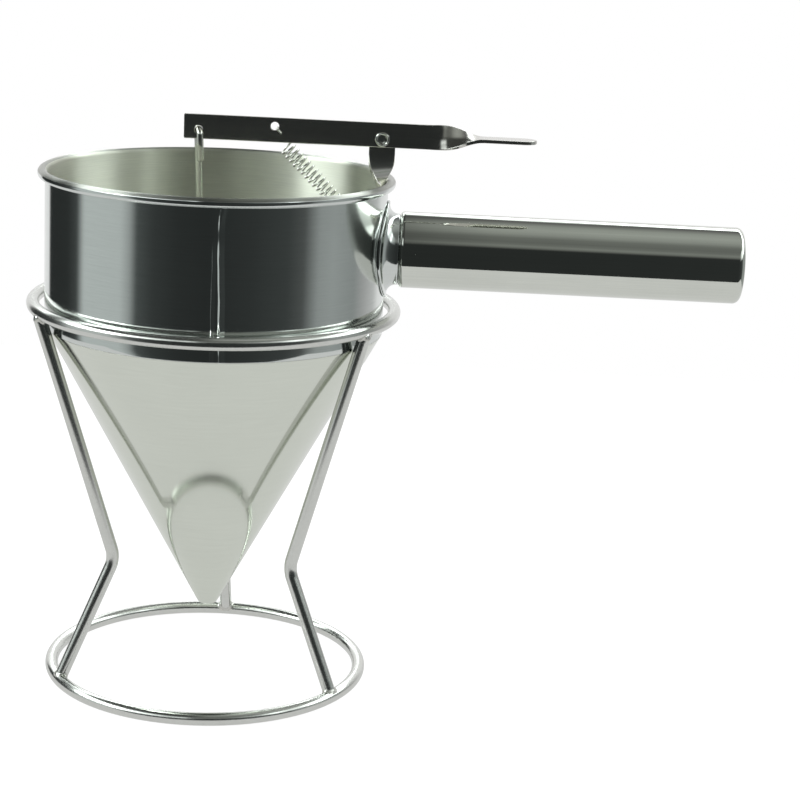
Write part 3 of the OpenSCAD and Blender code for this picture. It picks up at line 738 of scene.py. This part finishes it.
# Rings of the outer side, close together at its ends to hold the shading
CONE_RADII = (OUTLET_R + 0.6, CONE_MIDDLE_R, BAND_R - 0.7, BAND_R - 0.18)
LIP, LIP_EDGE = 0.12, 0.1
cone_angle = math.atan2(BAND_R - OUTLET_R, CONE_H)
cone_wall = SHEET / math.cos(cone_angle)


def on_cone(r):
    return (r, band_z - (BAND_R - r) / math.tan(cone_angle))


cone_side = [(OUTLET_R - LIP, tip_z), (OUTLET_R, tip_z + LIP_EDGE)]
cone_side += [on_cone(r) for r in CONE_RADII]
cone_side.append((BAND_R - WELD_GAP, band_z))
cone_hollow = [(r - cone_wall, h) for r, h in (on_cone(BAND_R), on_cone(CONE_MIDDLE_R))]
cone_hollow += [(OUTLET_R - cone_wall, tip_z + LIP_EDGE), (OUTLET_R - cone_wall + LIP, tip_z)]
cone_places = []
for index in range(len(cone_side) + len(cone_hollow)):
    cone_places += [INSIDE if index >= len(cone_side) - 1 else OUTSIDE] * CONE_STEPS
piece(
    "cone", skin(turned(cone_side + cone_hollow, CONE_STEPS, round_z), wrap=True), ["funnel_cone"],
    [cone_look, inside_painted_light_look], "funnel", cone_places, sharp=20,
)

# Handle: saddle on the band, tube with a rolled-in end, and a pressed-in cap
SADDLE_STEPS, FLARE_STEPS = 128, 16
# The flange's edge, by the distance in from its rim and out from the weld
FLANGE_EDGE = ((0.35, 0.0), (0.0, 0.1), (0.0, 0.5), (0.1, 0.8), (0.35, SADDLE_T), (0.8, SADDLE_T))
# The throat's outer edge, by the distance in from the throat and out from the flare
THROAT_EDGE = ((0.0, 0.3), (0.1, 0.5), (0.8, 0.55))
saddle_out = BAND_R + WELD_GAP + SADDLE_T
flare_r = handle_start - THROAT_LEN - saddle_out
flare_end = saddle_out + flare_r


def saddle_point(rho, lift, plane, share, angle):
    """A point of the saddle: on the band's curve where share is 0, on a flat plane where it is 1."""
    y = rho * math.cos(angle)
    curved = math.sqrt((BAND_R + lift) ** 2 - y * y)
    return (curved * (1 - share) + plane * share, y, handle_z + rho * math.sin(angle))


saddle_sections = [(SADDLE_R - inset, WELD_GAP + lift, 0.0, 0.0) for inset, lift in FLANGE_EDGE]
for step in range(FLARE_STEPS + 1):
    swing = math.radians(90 * step / FLARE_STEPS)
    rho = THROAT_R + flare_r * (1 - math.sin(swing))
    plane = saddle_out + flare_r * (1 - math.cos(swing))
    saddle_sections.append((rho, plane - BAND_R, plane, ease(step / FLARE_STEPS)))
throat = [(THROAT_R - inset, flare_end + out) for inset, out in THROAT_EDGE]
throat += [(SPIGOT_R, SPIGOT_END), (BORE_R, SPIGOT_END)]
saddle_sections += [(rho, 0.0, plane, 1.0) for rho, plane in throat]
saddle_sections.append((BORE_R, WELD_GAP, 0.0, 0.0))
saddle_rows = [
    [saddle_point(*section, angle) for angle in even_turn(SADDLE_STEPS)] for section in saddle_sections
]
piece(
    "saddle", skin(saddle_rows, wrap=True), ["handle_saddle"], [mirror_look], "funnel",
)

TUBE_STEPS, SHOULDER_STEPS, CAP_CORNER_STEPS = 160, 12, 18
SHOULDER_SUPPORT, END_SUPPORT = 0.6, 0.5
straight_start = handle_start + SHOULDER_R
straight_end = handle_end - CAP_CORNER_R
hollow_r = HANDLE_R - HANDLE_WALL
tube_profile = arc((HANDLE_R - SHOULDER_R, straight_start), SHOULDER_R, -90, 0, SHOULDER_STEPS)
tube_profile += [
    (HANDLE_R, straight_start + SHOULDER_SUPPORT), (HANDLE_R, straight_end - END_SUPPORT),
    (HANDLE_R, straight_end), (hollow_r, straight_end), (hollow_r, straight_start),
    (HANDLE_R - SHOULDER_R, handle_start + HANDLE_WALL),
]
piece(
    "handle_tube_skin", skin(turned(tube_profile, TUBE_STEPS, round_handle), wrap=True), ["handle_tube"],
    [tube_look], "funnel",
)
CAP_CORE_R, CAP_CROWN_R, CAP_CROWN, CAP_RISE = 0.4, 4.0, 0.12, 0.14
CAP_SEAT, CAP_FIT = 4.0, 0.05
cap_profile = arc((HANDLE_R - CAP_CORNER_R, straight_end), CAP_CORNER_R, 0, 90, CAP_CORNER_STEPS)
cap_profile += [
    (HANDLE_R - CAP_CORNER_R - END_SUPPORT, handle_end), (CAP_CROWN_R, handle_end + CAP_CROWN),
    (CAP_CORE_R, handle_end + CAP_RISE), (CAP_CORE_R, handle_end - CAP_FACE),
    (HANDLE_R - CAP_SEAT, handle_end - CAP_FACE), (hollow_r - CAP_FIT, straight_end),
]
piece(
    "handle_cap", skin(turned(cap_profile, TUBE_STEPS, round_handle)), ["handle_end_cap"],
    [tube_look], "funnel",
)

# Lever: a strip on edge that turns flat into the thumb pad, with punched holes
EDGE, CORNER_R, END_INSET = 0.2, 0.3, 0.15
CORNER_STEPS, TWIST_STEPS, PAD_STEPS = 6, 60, 16
PAD_SWEEP = math.radians(82)
lever_start, lever_tip = pivot_x - LEVER_IN, pivot_x + LEVER_OUT
twist_start = pivot_x + TWIST_IN
# Rings that keep the shading of the ends off the flat stretch
lever_supports = (lever_start + 2.5, twist_start - 2.0, twist_start - 0.4)


def lever_ring(x, turn, w, t=LEVER_T):
    """A ring of the lever, on edge where turn is 0 and flat where it is 1."""
    angle = math.radians(90) * ease(turn)
    along_w = Vector((0, math.sin(angle), math.cos(angle)))
    along_t = Vector((0, -math.cos(angle), math.sin(angle)))
    return strip_ring(Vector((x, lever_y, lever_z)), along_w, along_t, w, t)


lever_rows = [lever_ring(lever_start, 0, LEVER_W - 2 * CORNER_R - 2 * EDGE, LEVER_T - 2 * EDGE)]
for step in range(CORNER_STEPS + 1):
    angle = math.radians(90 * step / CORNER_STEPS)
    x = lever_start + EDGE / 2 + CORNER_R * (1 - math.cos(angle))
    lever_rows.append(lever_ring(x, 0, LEVER_W - 2 * CORNER_R * (1 - math.sin(angle))))
lever_rows += [lever_ring(x, 0, LEVER_W) for x in lever_supports]
for step in range(TWIST_STEPS + 1):
    t = step / TWIST_STEPS
    lever_rows.append(lever_ring(twist_start + TWIST_LEN * t, t, LEVER_W + (PAD_W - LEVER_W) * t))
pad_r = PAD_W / 2
for step in range(PAD_STEPS + 1):
    angle = PAD_SWEEP * step / PAD_STEPS
    x = lever_tip - pad_r - END_INSET + pad_r * math.sin(angle) / math.sin(PAD_SWEEP)
    lever_rows.append(lever_ring(x, 1, PAD_W * math.cos(angle)))
pad_tip_w = PAD_W * math.cos(PAD_SWEEP) - 2 * EDGE
lever_rows.append(lever_ring(lever_tip, 1, pad_tip_w, LEVER_T - 2 * EDGE))

HOLE_BEVEL, HOLE_STEPS, OVERRUN = 0.18, 56, 1.0


def hole_shape(x, z, r, front, back):
    """A round punch along Y that leaves a small bevel at both faces."""
    wide_r = r + HOLE_BEVEL + OVERRUN
    profile = [
        (wide_r, front - OVERRUN), (r, front + HOLE_BEVEL),
        (r, back - HOLE_BEVEL), (wide_r, back + OVERRUN),
    ]
    turns = even_turn(HOLE_STEPS)
    return skin([[(x + q * math.cos(a), y, z + q * math.sin(a)) for a in turns] for q, y in profile])


lever_holes = (
    (pivot_x, pivot_z, RIVET_R + PIVOT_GAP), (*hook_at, HOOK_HOLE_R), (*spring_hole, SPRING_HOLE_R),
)
piece(
    "lever_strip", skin(lever_rows), ["lever"], [strip_look], "lever",
    cutters=[hole_shape(x, z, r, lever_front, lever_back) for x, z, r in lever_holes], sharp=30,
)

# Bracket: a strip on the inside of the band that turns into the pivot's ear
BRACKET_TWIST_STEPS, EAR_STEPS = 40, 12
EAR_SWEEP = math.radians(76)
bracket_x = math.sqrt(inner_r ** 2 - (BRACKET_W / 2) ** 2) - WELD_GAP - BRACKET_T / 2
bracket_foot = anchor_hole.y + ANCHOR_W / 2 + BRACKET_FOOT_GAP
bracket_twist = rim_z - BRACKET_TWIST_DROP
bracket_supports = (bracket_foot + EDGE, bracket_foot + 1.0, bracket_twist - 0.5)
ear_z = pivot_z - EAR_H


def bracket_ring(z, turn, w, t=BRACKET_T):
    """A ring of the bracket, flat on the band where turn is 0 and square to it where it is 1."""
    angle = math.radians(90) * ease(turn)
    swing = BRACKET_W / 2 * math.sin(angle) + BRACKET_T / 2 * (math.cos(angle) - 1)
    at = Vector((bracket_x - min(bracket_x - pivot_x, swing), 0, z))
    along_w = Vector((math.sin(angle), math.cos(angle), 0))
    along_t = Vector((-math.cos(angle), math.sin(angle), 0))
    return strip_ring(at, along_w, along_t, w, t)


bracket_rows = [bracket_ring(bracket_foot, 0, BRACKET_W - 2 * EDGE, BRACKET_T - 2 * EDGE)]
bracket_rows += [bracket_ring(z, 0, BRACKET_W) for z in bracket_supports]
for step in range(BRACKET_TWIST_STEPS + 1):
    t = step / BRACKET_TWIST_STEPS
    bracket_rows.append(bracket_ring(bracket_twist + (ear_z - bracket_twist) * t, t, BRACKET_W))
for step in range(EAR_STEPS + 1):
    angle = EAR_SWEEP * step / EAR_STEPS
    z = pivot_z + (EAR_H - END_INSET) * math.sin(angle) / math.sin(EAR_SWEEP)
    bracket_rows.append(bracket_ring(z, 1, BRACKET_W * math.cos(angle)))
ear_tip_w = BRACKET_W * math.cos(EAR_SWEEP) - 2 * EDGE
bracket_rows.append(bracket_ring(pivot_z + EAR_H, 1, ear_tip_w, BRACKET_T - 2 * EDGE))
piece(
    "bracket_strip", skin(bracket_rows), ["lever_bracket"], [strip_look], "funnel",
    cutters=[hole_shape(pivot_x, pivot_z, RIVET_R + RIVET_FIT, -BRACKET_T / 2, BRACKET_T / 2)], sharp=30,
)

# Rivet: its front end is rolled over into a bright ring round a blind hollow
RIVET_STEPS, RIVET_CORE_R = 64, 0.05
# Radius and depth behind the front ring's seat
RIVET_HOLLOW = ((RIVET_CORE_R, 2.1), (1.4, 2.1), (1.5, 1.9), (1.62, 0.5), (1.78, -0.1), (2.0, -0.5))
RIVET_RING_AT, RIVET_RING_R, RIVET_RING_SWEEP, RIVET_RING_STEPS = (2.5, -0.4), 0.5, (200, 380), 14
RIVET_SEAT = ((RIVET_HEAD_R, -0.12), (2.9, 0.0), (RIVET_R, 0.0))
# Radius and height over the back head's seat
RIVET_BACK = ((2.9, 0.0), (RIVET_HEAD_R, 0.15), (2.85, 0.5), (2.3, 0.78), (1.2, 0.9), (RIVET_CORE_R, 0.92))
rivet_front, rivet_back = lever_front - PIVOT_GAP, BRACKET_T / 2 + PIVOT_GAP
rivet_ring = arc(RIVET_RING_AT, RIVET_RING_R, *RIVET_RING_SWEEP, RIVET_RING_STEPS)
rivet_profile = [(r, rivet_front + depth) for r, depth in (*RIVET_HOLLOW, *rivet_ring, *RIVET_SEAT)]
rivet_profile.append((RIVET_R, rivet_back))
rivet_profile += [(r, rivet_back + height) for r, height in RIVET_BACK]
piece(
    "rivet", skin(turned(rivet_profile, RIVET_STEPS, round_pivot)), ["pivot_rivet"],
    [rivet_look], "funnel",
)

# Plunger rod: its hook goes through the lever's end, and its short leg hangs in front
HOOK_STEPS, ROD_SIDES, ROD_DOME = 28, 28, 6
HOOK_SUPPORTS, ROD_INSET = (2.0, 0.3), 1.0
hook_r = ROD_R + HOOK_GAP + LEVER_T / 2
apex_z = tip_z - OUTLET_R / math.tan(cone_angle) + SHEET / math.sin(cone_angle)
ball_z = apex_z + (BALL_R + VALVE_GAP) / math.sin(cone_angle)
hook_out = Vector((math.sin(HOOK_TURN), -math.cos(HOOK_TURN), 0))
rod_top = Vector((hook_at.x, lever_y, hook_at.y)) - hook_out * hook_r
rod_line = Vector((0, 0, ball_z)) - rod_top
rod_tilt = math.asin(rod_line.y / rod_line.length)
rod_lean = math.atan(-rod_line.x / rod_line.z)
rod_turn = Matrix.Rotation(-rod_lean, 4, "Y") @ Matrix.Rotation(rod_tilt, 4, "X")
rod_frame = Matrix.Translation(rod_top) @ rod_turn
hook_points = [(0, ROD_INSET - rod_line.length)]
hook_points += [(0, -hook_r - gap) for gap in HOOK_SUPPORTS]
hook_points += arc((hook_r, -hook_r), hook_r, 180, 0, HOOK_STEPS)
hook_points += [(2 * hook_r, -hook_r - HOOK_SUPPORTS[-1]), (2 * hook_r, -HOOK_LEG)]
rod_path = [rod_frame @ (hook_out * out + Vector((0, 0, z))) for out, z in hook_points]
rod_rows = tube_rows(rod_path, ROD_R, ROD_SIDES, ROD_DOME)
piece("rod", skin(rod_rows), ["plunger_rod"], [rod_look], "plunger")

# Return spring: hooked in the lever and in the tab on the band, with open curls between
CURL_IN, CURL_RINGS, SPRING_SIDES, SPRING_DOME = 22.5, 28, 12, 3
hook_play = SPRING_WIRE_R + SIDE_GAP / 2
spring_pull = (anchor_hole - spring_hole).normalized()
spring_top = spring_hole + spring_pull * (SPRING_HOLE_R - hook_play)
spring_line = anchor_hole - spring_pull * (ANCHOR_HOLE_R - hook_play) - spring_top
spring_tilt = math.atan2(spring_line.y, spring_line.x) + math.asin(2 * SPRING_R / spring_line.length)
spring_axis = Vector((math.cos(spring_tilt), math.sin(spring_tilt)))
spring_across = Vector((-spring_axis.y, spring_axis.x))
spring_run = spring_line.dot(spring_axis)
coil_len = spring_run - 2 * SPRING_LEG
spring_y = lever_back + SPRING_GAP + SPRING_R + SPRING_WIRE_R
tail_y = lever_front - SIDE_GAP - 2 * SPRING_WIRE_R
anchor_end_y = -ANCHOR_T / 2 - 4 * SPRING_WIRE_R


def spring_point(along, side, y):
    flat = spring_top + spring_axis * along + spring_across * (side - SPRING_R)
    return Vector((flat.x, y, flat.y))


def curl_point(angle):
    turn = math.radians(angle)
    along = SPRING_LEG + coil_len * angle / (360 * SPRING_TURNS)
    return spring_point(along, SPRING_R * math.cos(turn), spring_y + SPRING_R * math.sin(turn))


def toward(corner, point):
    """Where the bend at a corner meets the straight wire that comes from a point."""
    return corner + (point - corner).normalized() * SPRING_BEND


def wire_corner(start, corner, finish):
    return bend(toward(corner, start), corner, toward(corner, finish))


spring_tip = spring_point(SPRING_TAIL, SPRING_R, tail_y)
tail_corner = spring_point(0, SPRING_R, tail_y)
top_corner = spring_point(0, SPRING_R, spring_y)
coil_start = spring_point(SPRING_LEG, SPRING_R, spring_y)
coil_end = spring_point(SPRING_LEG + coil_len, -SPRING_R, spring_y)
foot_corner = spring_point(spring_run, -SPRING_R, spring_y)
spring_end = spring_point(spring_run, -SPRING_R, anchor_end_y)
curl_turn = SPRING_TURNS * 360 - 2 * CURL_IN
curl_steps = round(curl_turn * CURL_RINGS / 360)
spring_path = [spring_tip]
spring_path += wire_corner(spring_tip, tail_corner, top_corner)
spring_path += wire_corner(tail_corner, top_corner, coil_start)
spring_path += bend(toward(coil_start, top_corner), coil_start, curl_point(CURL_IN))
spring_path += [curl_point(CURL_IN + curl_turn * i / curl_steps) for i in range(1, curl_steps)]
spring_path += bend(curl_point(CURL_IN + curl_turn), coil_end, toward(coil_end, foot_corner))
spring_path += wire_corner(coil_end, foot_corner, spring_end) + [spring_end]
spring_rows = tube_rows(spring_path, SPRING_WIRE_R, SPRING_SIDES, SPRING_DOME)
spring = piece("spring", skin(spring_rows), ["return_spring"], [spring_look])
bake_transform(spring)

# Small CAD pieces that keep their shape
KEPT = {"spring_anchor": strip_look, "pivot_washer": rivet_look, "valve_ball": rod_look}
for name, look in KEPT.items():
    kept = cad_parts[name].data
    kept.materials.clear()
    kept.materials.append(look)
